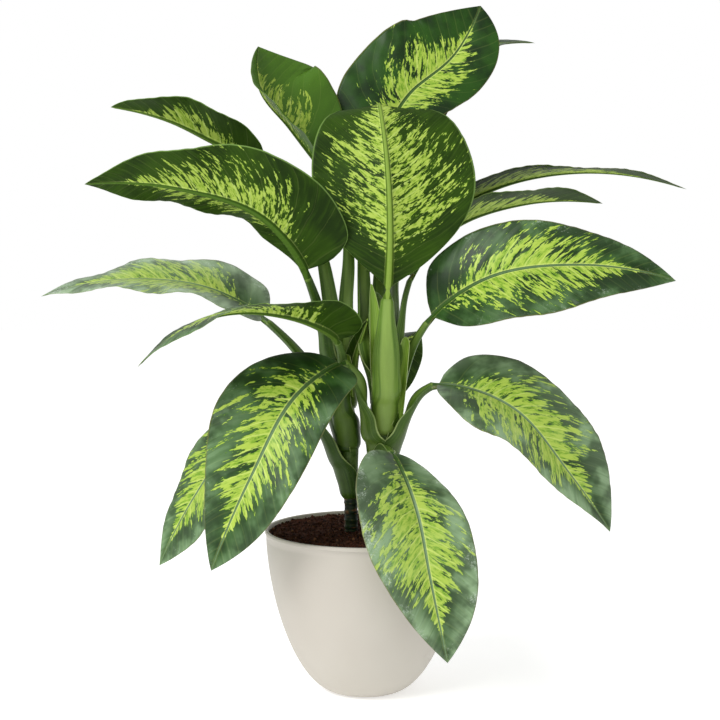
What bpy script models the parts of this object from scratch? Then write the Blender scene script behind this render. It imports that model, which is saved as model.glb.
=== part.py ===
"""A potted dieffenbachia: a plain plastic pot, its soil, two canes and the leaves that grow on them.

Blender 4.5, metres, +Z up. The origin is the middle of the pot's flat base, and the plant's best
side faces -Y. Every leaf is one closed loft: a sheath that hugs its cane, a petiole, and a thin
folded and waved blade with a raised midrib below.
"""

import math
from typing import NamedTuple

import bpy
import numpy as np

MM = 0.001

# The pot, in millimetres.
RIM_RADIUS = 101.0
RIM_HEIGHT = 164.5
LIP_HEIGHT = 4.0
LIP_STEP = 1.0
LIP_SLOPE = 0.6  # height over which the wall steps out to the lip
LIP_ROUND = 0.8
WALL = 2.6
FLOOR = 5.0
INNER_CORNER = 2.0  # how far the wall's inside rounds in to the floor
BASE_RADIUS = 32.0
BELLY = (1.7, 0.55)  # how the wall rounds in to the base: larger and smaller make it fuller
POT_SIDES = 48
WALL_ROWS = 10

GAP = 0.3  # between pieces that touch

# The soil.
SOIL_HEIGHT = 163.0
SOIL_FALL = 2.5  # how much lower it lies at the wall than in the middle
SOIL_RELIEF = 1.3
SOIL_WAVES = ((0.23, 0.11, 0.0), (-0.17, 0.31, 2.0), (0.5, 0.0, 1.0))  # turn by x and y, start
SOIL_EDGE = 4.0  # between the highest ring on its side and its top edge
SOIL_RINGS = 8
SOIL_GAP = GAP + 0.2  # to the pot's wall
HOLE_GAP = GAP + 0.2  # round a cane
HOLE_SIDES = 24
CUTTER_LENGTH = 120.0

# The canes.
CANE_SIDES = 16
CANE_ROWS = 12
CANE_STEP = 5.0  # over which its direction is read
NODE_SWELL = 1.08  # a node ring's radius, as a share of the cane's
NODE_REACH = 1.6  # how far a node ring spreads up and down

# The sheaths, which hug a cane, and the petioles.
SHEATH_GAP = 0.5
SHEATH_LENGTH = 38.0
SHEATH_RINGS = 3
SHEATH_THICK = (2.0, 4.5)  # in the middle, at the foot and at the top
SHEATH_NARROWS = 0.35  # share of its wrap that it loses on the way up
PETIOLE_RINGS = 4
PETIOLE_END = 0.4  # from its last ring to the blade, in steps between rings
PETIOLE_TAPER = 0.3
PETIOLE_FLAT = 0.45  # rise of its upper side, as a share of its radius
PETIOLE_SEAT = 0.6  # how far out of the cane it stands above the sheath, in radii

# The blades.
BLADE = 0.9  # thickness
COLUMNS = (0.0, 0.07, 0.5, 1.0)  # places of a blade's points from midrib to margin
HALF = len(COLUMNS) - 1
BLADE_STATIONS = (0.01, 0.05, 0.11, 0.19, 0.28, 0.38, 0.48, 0.58, 0.68, 0.77, 0.85, 0.92, 0.97)
SWEEP = 0.8  # below one, the side veins run ahead to the tip
VEIN_CURVE = 1.6
BASE_CURVE = 2.2
RIB_DEPTH = (3.9, 0.5)  # of the midrib below the blade, at base and tip
RIB_WIDTH = (3.8, 0.7)
RIB_SHARE = 0.4  # of a half blade that the midrib may take
WAVE_ENDS = 0.6  # smaller keeps the waves high up to the base and tip


class Cane(NamedTuple):
    """A stem: points of its middle line, its radius at each, and the heights of its node rings."""

    name: str
    points: tuple
    radii: tuple
    nodes: tuple


class Leaf(NamedTuple):
    """A leaf: the foot of its sheath on a cane, the line of its midrib, and how its blade lies.

    The outline's three values, from the widest place on, may be a pair: left and right of the midrib.
    """

    name: str
    cane: str
    clock: float  # side of the cane that the sheath is on, degrees from +X
    foot: float  # height of the sheath's foot
    midrib: tuple  # from the petiole to the tip
    faces: tuple  # where the upper side looks, evenly from base to tip
    width: float
    fold: tuple = (22.0, 12.0)  # angle by which each half rises from flat, evenly from base to tip
    droop: float = 16.0  # angle by which the margins turn back down
    lobe: float = 0.07  # how far the blade's base reaches behind the petiole, in lengths
    widest: float | tuple = 0.38  # place of the widest part, from base to tip
    round_base: float | tuple = 0.5  # smaller is blunter
    round_tip: float | tuple = 2.0  # larger is blunter
    wave: tuple = (2.5, 2.5, 0.0)  # height, number along the blade, and start of the margin's waves
    sides: tuple = (1.0, 1.0)  # share of the half width on the left and on the right
    wrap: float = 28.0  # half the angle that the sheath takes round its cane
    radius: float = 5.6  # of the petiole


CANES = (
    Cane(
        "cane_left",
        ((-14, -8, 100), (-14, -8, 190), (-15, -6, 215), (-17, -4, 255), (-24, 0, 318), (-29, 2, 352)),
        (6.5, 6.5, 9.5, 11.5, 10.5, 4.0),
        (163, 171, 180, 189),
    ),
    Cane(
        "cane_right",
        ((12, -20, 100), (12, -20, 160), (16, -19, 217), (19, -17, 267), (18, -14, 340), (10, -14, 405)),
        (8.5, 8.5, 11.0, 11.5, 11.0, 4.0),
        (166, 176, 187, 198),
    ),
)

LEAVES = (
    Leaf(
        "leaf_low_left_rear", "cane_left", 213, 197,
        midrib=((-81, -30, 295), (-119, -44, 270), (-158, -55, 218), (-201, -55, 138)),
        faces=((-0.35, -0.4, 0.85), (-0.75, -0.6, 0.3), (-0.65, -0.7, 0.25)),
        width=92, sides=(1.1, 0.8), widest=(0.38, 0.45), round_tip=(2.8, 1.5), wave=(2.5, 2.5, 0.0),
        wrap=44.0, radius=6.0,
    ),
    Leaf(
        "leaf_low_left", "cane_right", -140, 222,
        midrib=((-24, -45, 335), (-66, -85, 307), (-106, -110, 236), (-145, -110, 145)),
        faces=((-0.2, -0.8, 0.6), (-0.2, -1, 0.25), (-0.3, -1, 0.15)),
        width=114, sides=(0.8, 1.07), widest=(0.45, 0.4), round_base=(0.3, 1.15),
        round_tip=(2.6, 1.5), lobe=0.05, fold=(16, 10), wave=(3.0, 2.0, 1.0), radius=6.8,
    ),
    Leaf(
        "leaf_front", "cane_right", -85, 207,
        midrib=((26, -62, 249), (47, -108, 205), (61, -135, 137), (76, -140, 65)),
        faces=((0.45, -0.5, 0.75), (0.2, -0.95, 0.3), (0.1, -1, 0.1)),
        width=102, sides=(0.91, 1.26), widest=(0.55, 0.3), round_base=(1.1, 1.0),
        round_tip=(2.3, 1.6), lobe=0.06, wave=(2.0, 2.5, 2.0),
    ),
    Leaf(
        "leaf_low_right", "cane_right", -31, 222,
        midrib=((71, -30, 313), (141, -62, 294), (193, -85, 235), (233, -90, 178)),
        faces=((0.1, -0.5, 0.85), (0.4, -0.65, 0.6), (0.5, -0.7, 0.45)),
        width=106, sides=(1.08, 1.2), widest=(0.38, 0.36), round_base=(0.5, 1.0),
        round_tip=(3.4, 1.0), lobe=0.04, wave=(3.0, 2.0, 0.5), radius=6.2,
    ),
    Leaf(
        "leaf_mid_right", "cane_right", 35, 250,
        midrib=((65, -20, 378), (119, -45, 418), (201, -60, 431), (297, -65, 416)),
        faces=((-0.2, -0.85, 0.5), (0.0, -0.85, 0.5), (0.1, -0.8, 0.55)),
        width=106, sides=(0.96, 1.1), widest=(0.32, 0.4), round_base=(0.5, 0.8),
        round_tip=(1.9, 1.85), lobe=0.0, wave=(2.5, 2.5, 1.5), radius=4.8,
    ),
    Leaf(
        "leaf_centre", "cane_right", -82, 262,
        midrib=((22, -42, 405), (24, -50, 465), (21, -40, 532), (14, 0, 589), (15, 45, 577)),
        faces=((0, 1, 0.1), (0, 1, 0), (0, 1, -0.3), (0, 0.4, -0.9), (0, -0.4, -0.9)),
        width=168, sides=(1.04, 0.9), widest=0.46, round_base=1.1, round_tip=2.1, lobe=0.0,
        fold=(24, 14), wrap=44.0, radius=6.0,
    ),
    Leaf(
        "leaf_left", "cane_left", 214, 297,
        midrib=((-58, -43, 424), (-97, -60, 475), (-175, -66, 503), (-268, -60, 508)),
        faces=((0.1, 0.7, 0.7), (0.05, 0.62, 0.78), (0.0, 0.62, 0.78)),
        width=114, sides=(1.1, 0.68), widest=(0.28, 0.42), round_base=(0.35, 1.5),
        round_tip=(2.0, 2.8), fold=(38, 26, 6), wave=(3.5, 3.0, 0.5),
    ),
    Leaf(
        "leaf_mid_left", "cane_left", 158, 245,
        midrib=((-104, 10, 378), (-147, 5, 403), (-226, -5, 416), (-322, -10, 399)),
        faces=((0, -0.42, 0.92), (0, -0.32, 0.95), (-0.1, -0.2, 0.95)),
        width=104, sides=(0.9, 0.98), widest=(0.38, 0.28), round_tip=(2.0, 2.2), fold=(22, 6),
        wave=(3.0, 3.0, 2.5),
    ),
    Leaf(
        "leaf_twisted", "cane_left", 258, 246,
        midrib=((-29, -38, 359), (-71, -80, 382), (-138, -112, 385), (-210, -125, 338)),
        faces=((0.5, 0.45, 0.75), (0.1, 0.15, 1), (-0.3, -0.12, 0.9), (-0.5, -0.15, 0.85)),
        width=82, sides=(1.1, 0.76), round_tip=1.6, lobe=0.14, fold=(55, 22, 8, 5),
    ),
    Leaf(
        "leaf_top_left", "cane_left", 92, 294,
        midrib=((-105, 10, 531), (-144, 5, 549), (-198, 0, 574), (-252, 0, 586)),
        faces=((0.1, 0.2, 0.95), (0.1, 0.2, 0.95), (0.1, 0.2, 0.95)),
        width=84, round_base=0.8, fold=(40, 36, 30), wrap=21.0, radius=5.0,
    ),
    Leaf(
        "leaf_upper_left", "cane_left", 48, 289,
        midrib=((-46, 25, 532), (-75, 28, 568), (-106, 25, 608), (-107, 20, 648)),
        faces=((0.75, -0.55, 0.35), (0.75, -0.55, 0.35), (0.8, -0.5, 0.3)),
        width=124, sides=(0.95, 1.05), widest=(0.45, 0.6), round_tip=(4.5, 6.0), fold=(48, 46, 32),
        wrap=21.0, radius=5.0,
    ),
    Leaf(
        "leaf_top", "cane_right", 154, 290,
        midrib=((17, 45, 547), (42, 64, 600), (94, 80, 648), (121, 92, 699)),
        faces=((-0.35, -0.9, 0.2), (-0.1, -0.95, 0.2), (0.1, -1, 0.2)),
        width=128, sides=(1.05, 0.72), widest=(0.3, 0.45), round_base=(0.5, 0.5),
        round_tip=(3.3, 4.2), fold=(20, 12), radius=5.0,
    ),
    Leaf(
        "leaf_rear", "cane_right", 99, 304,
        midrib=((28, 75, 533), (67, 115, 614), (122, 138, 659), (185, 150, 668)),
        faces=((0.1, -0.9, 0.4), (0.0, -0.7, 0.7), (0.0, -0.1, 0.95)),
        width=74, radius=4.4,
    ),
    Leaf(
        "leaf_right_upper", "cane_right", 41, 300,
        midrib=((50, 58, 455), (138, 76, 510), (226, 84, 526), (338, 84, 508)),
        faces=((-0.4, 0.15, 0.9), (0, 0, 1), (0.1, 0, 1)),
        width=98, lobe=0.02, fold=(30, 12, 6), droop=8, radius=4.8,
    ),
    Leaf(
        "leaf_right_lower", "cane_right", -22, 294,
        midrib=((47, 4, 421), (83, 22, 463), (158, 36, 491), (243, 40, 492)),
        faces=((-0.3, 0.15, 0.9), (0, 0.1, 1), (0.1, 0.1, 1)),
        width=98, sides=(0.8, 1.0), round_base=(0.8, 1.1), round_tip=(2.0, 3.2), fold=(24, 18, 14),
        droop=8, radius=4.6,
    ),
    Leaf(
        "leaf_rear_small", "cane_right", 95, 240,
        midrib=((30, 28, 351), (33, 60, 355), (37, 92, 333), (41, 105, 289)),
        faces=((0, 0.1, 1), (0, 0.6, 0.8), (0, 1, 0.2)),
        width=52, round_tip=3.2,
    ),
    Leaf(
        "leaf_rolled", "cane_left", 0, 285,
        midrib=((-11, -3, 323), (-8, -6, 343), (-2, -11, 361), (4, -14, 378)),
        faces=((-1, 0, 0.4), (-1, 0, 0.4)),
        width=26, lobe=0.0, fold=(60, 60), wave=(0, 1, 0),
    ),
)


def unit(vector):
    """The vector at length one."""
    vector = np.asarray(vector, float)
    return vector / np.linalg.norm(vector)


def across(direction, normal):
    """The part of a normal that is square to a direction, at length one."""
    direction = unit(direction)
    return unit(np.asarray(normal, float) - np.dot(normal, direction) * direction)


class Path:
    """A smooth line through points, read by its share of length from 0 to 1, straight past its ends."""

    STEPS = 24

    def __init__(self, points, start=None, end=None):
        points = np.asarray(points, float)
        steps = np.diff(points, axis=0)
        spans = np.linalg.norm(steps, axis=1)
        ways = [unit(step) for step in steps]
        turns = [unit(ways[i] * spans[i + 1] + ways[i + 1] * spans[i]) for i in range(len(ways) - 1)]
        opening = unit(start) if start is not None else unit(2 * ways[0] - turns[0])
        closing = unit(end) if end is not None else unit(2 * ways[-1] - turns[-1])
        turns = [opening, *turns, closing]
        fine = [points[0]]
        for i, span in enumerate(spans):
            for t in np.linspace(0, 1, self.STEPS + 1)[1:]:
                fine.append(
                    points[i] * (2 * t**3 - 3 * t**2 + 1)
                    + turns[i] * span * (t**3 - 2 * t**2 + t)
                    + points[i + 1] * (3 * t**2 - 2 * t**3)
                    + turns[i + 1] * span * (t**3 - t**2)
                )
        self.fine = np.array(fine)
        steps = np.linalg.norm(np.diff(self.fine, axis=0), axis=1)
        self.length = steps.sum()
        self.shares = np.concatenate([[0], np.cumsum(steps)]) / self.length
        self.slopes = np.gradient(self.fine, self.shares, axis=0)

    def at(self, share):
        """Point and direction at this share of the length."""
        inside = min(max(share, 0.0), 1.0)
        point = np.array([np.interp(inside, self.shares, self.fine[:, k]) for k in range(3)])
        slope = np.array([np.interp(inside, self.shares, self.slopes[:, k]) for k in range(3)])
        return point + slope * (share - inside), unit(slope)


def evenly(values, share):
    """The value at this share of a list that is spread evenly from 0 to 1."""
    values = np.asarray(values, float)
    places = np.linspace(0, 1, len(values))
    if values.ndim == 1:
        return float(np.interp(share, places, values))
    return np.array([np.interp(share, places, values[:, k]) for k in range(values.shape[1])])


def between(ends, share):
    """The value this share of the way from the first end to the second."""
    return ends[0] + (ends[1] - ends[0]) * share


def circle(radius, sides, height=0.0):
    """The corners of a level polygon round the Z axis."""
    turns = [math.tau * i / sides for i in range(sides)]
    return np.array([(radius * math.cos(t), radius * math.sin(t), height) for t in turns])


def ring_columns():
    """The points of a ring in order: (side, column, upper or lower), over the top and back below."""
    over = [(-1, c) for c in range(HALF, 0, -1)] + [(1, c) for c in range(HALF + 1)]
    return [(side, c, 1) for side, c in over] + [(side, c, -1) for side, c in reversed(over)]


def sheath_ring(foot, direction, inward, cane_radius, wrap, thick):
    """A crescent that hugs the cane from outside."""
    sideways = np.cross(direction, inward)
    inner = cane_radius + SHEATH_GAP
    points = []
    for side, c, face in ring_columns():
        angle = math.radians(wrap) * side * c / HALF
        out = inner if face > 0 else inner + BLADE + thick * math.cos(math.pi / 2 * c / HALF)
        points.append(
            foot + sideways * out * math.sin(angle) + inward * (inner - out * math.cos(angle))
        )
    return np.array(points)


def petiole_ring(point, direction, upward, radius):
    """A round section, flatter on its upper side."""
    sideways = np.cross(direction, upward)
    points = []
    for side, c, face in ring_columns():
        angle = math.pi / 2 * side * c / HALF
        rise = PETIOLE_FLAT * math.cos(angle) if face > 0 else -math.cos(angle)
        points.append(
            point + sideways * radius * math.sin(angle) + upward * (radius * rise + face * BLADE / 2)
        )
    return np.array(points)


def of_side(value, side):
    """The side's own value, where a pair is given."""
    return value[side > 0] if isinstance(value, tuple) else value


def half_width(leaf, place, side):
    """Share of the greatest half width at a place from base to tip: round at first, then pointed."""
    widest = of_side(leaf.widest, side)
    if place < widest:
        back = (widest - place) / (widest + leaf.lobe)
        return max(0.0, 1 - back**BASE_CURVE) ** of_side(leaf.round_base, side)
    return 1 - ((place - widest) / (1 - widest)) ** of_side(leaf.round_tip, side)


def blade_ring(leaf, path, share):
    """One cross-section of the blade. It follows a pair of side veins, so that it bends to the tip."""
    margin = -leaf.lobe + (1 + leaf.lobe) * share**SWEEP
    points = []
    for side, c, face in ring_columns():
        out = COLUMNS[c]
        place = share + (margin - share) * out**VEIN_CURVE
        point, direction = path.at(place)
        upward = across(direction, evenly(leaf.faces, place))
        sideways = np.cross(direction, upward)
        reach = leaf.width / 2 * leaf.sides[side > 0] * half_width(leaf, margin, side)
        distance = out * reach if c != 1 else min(between(RIB_WIDTH, share), RIB_SHARE * reach)
        bend = math.radians(evenly(leaf.fold, place) - leaf.droop * out / 2)
        lie = sideways * side * math.cos(bend) + upward * math.sin(bend)
        normal = upward * math.cos(bend) - sideways * side * math.sin(bend)
        if c == 0:
            lie, normal = sideways, upward
        height, count, start = leaf.wave
        waves = math.sin(math.tau * count * margin + start + side)
        lift = height * out**2 * math.sin(math.pi * max(0.0, min(margin, 1.0))) ** WAVE_ENDS * waves
        drop = between(RIB_DEPTH, share) if c == 0 and face < 0 else 0.0
        points.append(point + lie * distance + normal * (lift + face * BLADE / 2 - drop))
    return np.array(points)


def loft(name, first, rings, last, material):
    """A closed body through rings of points, with a single point at each end. Both faces split alike."""
    count = len(rings[0])
    points = [first, *np.concatenate(rings), last]
    faces = [(0, 1 + (i + 1) % count, 1 + i) for i in range(count)]
    for k in range(len(rings) - 1):
        a, b = 1 + k * count, 1 + (k + 1) * count
        for i in range(count):
            j = (i + 1) % count
            if i < count // 2:
                faces += [(a + i, a + j, b + j), (a + i, b + j, b + i)]
            else:
                faces += [(a + i, a + j, b + i), (a + j, b + j, b + i)]
    end = 1 + (len(rings) - 1) * count
    faces += [(end + i, end + (i + 1) % count, len(points) - 1) for i in range(count)]
    return add_object(name, points, faces, material)


def add_object(name, points, faces, material):
    """A mesh object from points in millimetres, shaded smooth."""
    mesh = bpy.data.meshes.new(name)
    mesh.from_pydata([tuple(float(v) * MM for v in p) for p in points], [], faces)
    mesh.materials.append(material)
    mesh.shade_smooth()
    thing = bpy.data.objects.new(name, mesh)
    bpy.context.scene.collection.objects.link(thing)
    return thing


def cane_at(cane, height):
    """The middle and the radius of a cane at a height."""
    heights = [point[2] for point in cane.points]
    middle = np.array([np.interp(height, heights, [p[k] for p in cane.points]) for k in range(3)])
    return middle, float(np.interp(height, heights, cane.radii))


def add_leaf(leaf, canes, material):
    """One leaf, from the foot of its sheath to the tip of its blade."""
    cane = canes[leaf.cane]
    angle = math.radians(leaf.clock)
    outward = np.array([math.cos(angle), math.sin(angle), 0.0])
    blade = Path(leaf.midrib)
    base, base_direction = blade.at(0.0)

    rings = []
    for k in range(SHEATH_RINGS):
        share = k / SHEATH_RINGS
        height = leaf.foot + SHEATH_LENGTH * share
        middle, radius = cane_at(cane, height)
        ahead, _ = cane_at(cane, height + CANE_STEP)
        up = unit(ahead - middle)
        inward = across(up, -outward)
        foot = middle - inward * (radius + SHEATH_GAP)
        wrap = leaf.wrap * (1 - SHEATH_NARROWS * share)
        rings.append(sheath_ring(foot, up, inward, radius, wrap, between(SHEATH_THICK, share)))
        if k == 0:
            first = foot - inward * 2 * BLADE - up

    top_middle, top_radius = cane_at(cane, leaf.foot + SHEATH_LENGTH)
    top = top_middle + outward * (top_radius + SHEATH_GAP + leaf.radius * PETIOLE_SEAT)
    stalk = Path([foot, top, base], up, base_direction)
    first_share = np.linalg.norm(top - foot) / stalk.length
    for k in range(PETIOLE_RINGS + 1):
        share = first_share + (1 - first_share) * k / (PETIOLE_RINGS + PETIOLE_END)
        point, direction = stalk.at(share)
        turn = share * share * (3 - 2 * share)
        upward = across(direction, unit(-outward) * (1 - turn) + unit(leaf.faces[0]) * turn)
        rings.append(petiole_ring(point, direction, upward, leaf.radius * (1 - PETIOLE_TAPER * share)))
    rings += [blade_ring(leaf, blade, share) for share in BLADE_STATIONS]
    tip, _ = blade.at(1.0)
    return loft(leaf.name, first, rings, tip, material)


def add_cane(cane, material):
    """A jointed stem, a little swollen at each node."""
    low, high = cane.points[0][2], cane.points[-1][2]
    heights = sorted(
        {float(h) for h in np.linspace(low + 1, high - 1, CANE_ROWS)}
        | {node + step for node in cane.nodes for step in (-NODE_REACH, 0.0, NODE_REACH)}
    )
    rings = []
    for height in heights:
        middle, radius = cane_at(cane, height)
        radius *= NODE_SWELL if height in cane.nodes else 1.0
        rings.append(middle + circle(radius, CANE_SIDES))
    return loft(cane.name, np.array(cane.points[0]), rings, np.array(cane.points[-1]), material)


def pot_radius(height):
    """The pot's outer radius at a height: nearly upright at the rim, rounding in to the base."""
    share = min(height / (RIM_HEIGHT - LIP_HEIGHT), 1.0)
    reach = (1 - (1 - share) ** BELLY[0]) ** BELLY[1]
    return BASE_RADIUS + (RIM_RADIUS - LIP_STEP - BASE_RADIUS) * reach


def pot_outside():
    """The pot's outer outline, from the base's edge up to the lip."""
    heights = [(RIM_HEIGHT - LIP_HEIGHT) * (k / WALL_ROWS) ** 2 for k in range(WALL_ROWS + 1)]
    return [(pot_radius(height), height) for height in heights]


def inset(points, distance):
    """An outline moved sideways by a distance, to the left of its way."""
    points = np.asarray(points, float)
    slopes = np.gradient(points, axis=0)
    slopes /= np.linalg.norm(slopes, axis=1)[:, None]
    return points + np.stack([-slopes[:, 1], slopes[:, 0]], axis=1) * distance


def add_pot(material):
    """A moulded shell with an open top, a slim lip and a flat base."""
    outside = pot_outside()
    inside = [tuple(p) for p in inset(outside, WALL) if p[1] > FLOOR and p[0] > 0]
    lip = [
        (RIM_RADIUS, RIM_HEIGHT - LIP_HEIGHT + LIP_SLOPE),
        (RIM_RADIUS, RIM_HEIGHT - LIP_ROUND),
        (RIM_RADIUS - LIP_ROUND, RIM_HEIGHT),
        (RIM_RADIUS - WALL - LIP_ROUND / 2, RIM_HEIGHT),
        (RIM_RADIUS - WALL - LIP_STEP, RIM_HEIGHT - LIP_ROUND),
    ]
    outline = [*outside, *lip, *reversed(inside), (inside[0][0] - INNER_CORNER, FLOOR)]
    rings = [circle(radius, POT_SIDES, height) for radius, height in outline]
    return loft("pot", np.zeros(3), rings, np.array([0.0, 0.0, FLOOR]), material)


def add_soil(canes, material):
    """Potting soil that fills the pot, with an uneven top and a plain hole for each cane."""
    top_edge = SOIL_HEIGHT - SOIL_FALL
    bottom = FLOOR + GAP
    wall = inset(pot_outside(), WALL + SOIL_GAP)
    outline = [tuple(p) for p in wall if bottom < p[1] < top_edge - SOIL_EDGE]
    outline.insert(0, (outline[0][0] - INNER_CORNER, bottom))
    rings = [circle(radius, POT_SIDES, height) for radius, height in outline]
    for k in range(SOIL_RINGS):
        share = 1 - k / SOIL_RINGS
        ring = circle((pot_radius(top_edge) - WALL - 2 * SOIL_GAP) * share, POT_SIDES)
        x, y = ring[:, 0], ring[:, 1]
        bumps = np.mean([np.sin(a * x + b * y + start) for a, b, start in SOIL_WAVES], axis=0)
        ring[:, 2] = SOIL_HEIGHT - SOIL_FALL * share**2 + SOIL_RELIEF * bumps * (share < 1)
        rings.append(ring)
    middle, top = np.array([0.0, 0.0, bottom]), np.array([0.0, 0.0, SOIL_HEIGHT])
    soil = loft("soil", middle, rings, top, material)
    for cane in canes.values():
        x, y, foot = cane.points[0]
        bpy.ops.mesh.primitive_cylinder_add(
            vertices=HOLE_SIDES,
            radius=(cane.radii[0] * NODE_SWELL + HOLE_GAP) * MM,
            depth=CUTTER_LENGTH * MM,
            location=(x * MM, y * MM, (foot - GAP + CUTTER_LENGTH / 2) * MM),
        )
        cutter = bpy.context.object
        hole = soil.modifiers.new(cane.name + "_hole", "BOOLEAN")
        hole.operation = "DIFFERENCE"
        hole.object = cutter
        bpy.ops.object.select_all(action="DESELECT")
        bpy.context.view_layer.objects.active = soil
        soil.select_set(True)
        bpy.ops.object.modifier_apply(modifier=hole.name)
        bpy.data.objects.remove(cutter, do_unlink=True)
    return soil


def finish(name, colour, roughness):
    """A plain material."""
    material = bpy.data.materials.new(name)
    material.use_nodes = True
    shader = material.node_tree.nodes["Principled BSDF"]
    shader.inputs["Base Color"].default_value = (*colour, 1.0)
    shader.inputs["Roughness"].default_value = roughness
    shader.inputs["Metallic"].default_value = 0.0
    material.diffuse_color = (*colour, 1.0)
    return material


def clear_scene():
    """Removes whatever the scene holds."""
    for thing in list(bpy.data.objects):
        bpy.data.objects.remove(thing, do_unlink=True)


def main():
    clear_scene()
    canes = {cane.name: cane for cane in CANES}
    add_pot(finish("pot_plastic", (0.68, 0.64, 0.57), 0.55))
    add_soil(canes, finish("potting_soil", (0.035, 0.018, 0.012), 0.95))
    cane_green = finish("cane_green", (0.09, 0.17, 0.03), 0.5)
    for cane in CANES:
        add_cane(cane, cane_green)
    leaf_green = finish("leaf_green", (0.06, 0.2, 0.02), 0.4)
    for leaf in LEAVES:
        add_leaf(leaf, canes, leaf_green)


main()
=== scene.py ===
# %% [markdown]
# # A potted dieffenbachia
#
# The plant's solids come from its construction: a pot, soil, two canes and seventeen leaves. They are
# right in size and place, and plain. Here each gets the surface of the real thing: a fine skin laid on
# the solid, and a finish painted by nodes. Lengths are in metres, and +Z is up.

import bmesh
import bpy
import numpy as np
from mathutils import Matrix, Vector


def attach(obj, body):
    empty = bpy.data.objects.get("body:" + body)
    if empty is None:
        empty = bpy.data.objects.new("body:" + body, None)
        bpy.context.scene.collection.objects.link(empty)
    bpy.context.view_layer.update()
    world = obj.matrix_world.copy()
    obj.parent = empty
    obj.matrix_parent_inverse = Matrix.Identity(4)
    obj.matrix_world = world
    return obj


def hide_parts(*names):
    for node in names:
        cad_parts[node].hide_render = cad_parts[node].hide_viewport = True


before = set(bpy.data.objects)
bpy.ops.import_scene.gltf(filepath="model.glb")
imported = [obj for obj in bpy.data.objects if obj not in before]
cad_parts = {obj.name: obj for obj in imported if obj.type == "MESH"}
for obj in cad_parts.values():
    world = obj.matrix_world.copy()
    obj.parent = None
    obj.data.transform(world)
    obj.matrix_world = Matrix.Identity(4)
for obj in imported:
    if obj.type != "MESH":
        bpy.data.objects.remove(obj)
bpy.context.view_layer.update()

MM = 0.001

# %% [markdown]
# ## Camera, light and floor
#
# The plant is seen from just above half its height with a long lens, as a plant shop would show it.
# The light is a bright cloudy sky: a white world for soft fill, and one broad lamp at the upper left
# that gives the blades their sheen and the pot its roundness. Several small lamps would do too, but
# they would draw several highlights on every blade.

# %% Camera, light and floor
CAMERA_PLACE = Vector((-0.005, -1.5, 0.455))
CAMERA_AIM = Vector((-0.005, 0.0, 0.335))
LAMP_PLACE = Vector((-1.5, -1.5, 1.9))
LAMP_AIM = Vector((0, 0, 0.35))
LAMP_WATTS = 52
SKY_LIGHT = 0.72  # the sky's strength as light
BACKDROP = 1.0  # and behind the plant


def aimed(thing, place, aim):
    """Links a camera or lamp, and turns it to look from its place at a point."""
    item = bpy.data.objects.new(thing.name, thing)
    item.location = place
    item.rotation_euler = (aim - place).to_track_quat("-Z", "Y").to_euler()
    bpy.context.scene.collection.objects.link(item)
    return item


camera_data = bpy.data.cameras.new("camera")
camera_data.lens = 75
camera_data.sensor_width = 36
bpy.context.scene.camera = aimed(camera_data, CAMERA_PLACE, CAMERA_AIM)

key_data = bpy.data.lights.new("key_light", "AREA")
key_data.shape = "DISK"
key_data.size = 1.6
key_data.energy = LAMP_WATTS
aimed(key_data, LAMP_PLACE, LAMP_AIM)

world = bpy.data.worlds.new("bright_sky")
world.use_nodes = True
sky = world.node_tree.nodes["Background"].inputs
sky["Color"].default_value = (1, 1, 1, 1)
seen = world.node_tree.nodes.new("ShaderNodeLightPath").outputs["Is Camera Ray"]
strength = world.node_tree.nodes.new("ShaderNodeMapRange")
strength.inputs["To Min"].default_value = SKY_LIGHT
strength.inputs["To Max"].default_value = BACKDROP
world.node_tree.links.new(seen, strength.inputs["Value"])
world.node_tree.links.new(strength.outputs["Result"], sky["Strength"])
bpy.context.scene.world = world
bpy.context.scene.view_settings.view_transform = "Standard"


def deselect():
    """An operator acts on all that is selected, so nothing is left selected before one."""
    bpy.ops.object.select_all(action="DESELECT")


deselect()
bpy.ops.mesh.primitive_plane_add(size=12, location=(0, 0, 0))
floor = bpy.context.object
floor.name = "floor"
print("camera is", round((CAMERA_PLACE - CAMERA_AIM).length, 2), "m away")

# %% [markdown]
# ## A short hand for nodes
#
# A finish is a small network of nodes. Written out, each node takes three or four lines, which hide
# the idea. These helpers add a node and wire it in one line each, so that a finish reads like a recipe.
# They add to the network on the bench, which is the finish or group begun last.

# %% Helpers for nodes


def colour(red, green, blue):
    """A colour as a paint chart gives it, 0 to 255, made linear for the shader."""
    shares = [c / 255 for c in (red, green, blue)]
    return (*[c / 12.92 if c <= 0.04045 else ((c + 0.055) / 1.055) ** 2.4 for c in shares], 1.0)


bench = {"tree": None}  # the network in work, which the helpers add to


def join(value, socket):
    """A link from an output to an input."""
    bench["tree"].links.new(value, socket)


def put(kind, inputs=None, **settings):
    """A node with its settings made: an input that is given a socket is linked, any other is set."""
    node = bench["tree"].nodes.new("ShaderNode" + kind)
    for name, value in settings.items():
        setattr(node, name, value)
    for key, value in (inputs or {}).items():
        if isinstance(value, bpy.types.NodeSocket):
            join(value, node.inputs[key])
        else:
            node.inputs[key].default_value = value
    return node


def math_of(operation, a, b=0.0, c=0.0, clamp=False):
    """One step of arithmetic."""
    return put("Math", {0: a, 1: b, 2: c}, operation=operation, use_clamp=clamp).outputs[0]


def times(a, b, clamp=False):
    """Two numbers multiplied."""
    return math_of("MULTIPLY", a, b, clamp=clamp)


def scaled(value, factor, extra):
    """A number times a factor, with something added."""
    return math_of("MULTIPLY_ADD", value, factor, extra)


def divided(a, b):
    """One number by another."""
    return math_of("DIVIDE", a, b)


def absolute(value):
    """A number without its sign."""
    return math_of("ABSOLUTE", value)


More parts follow.
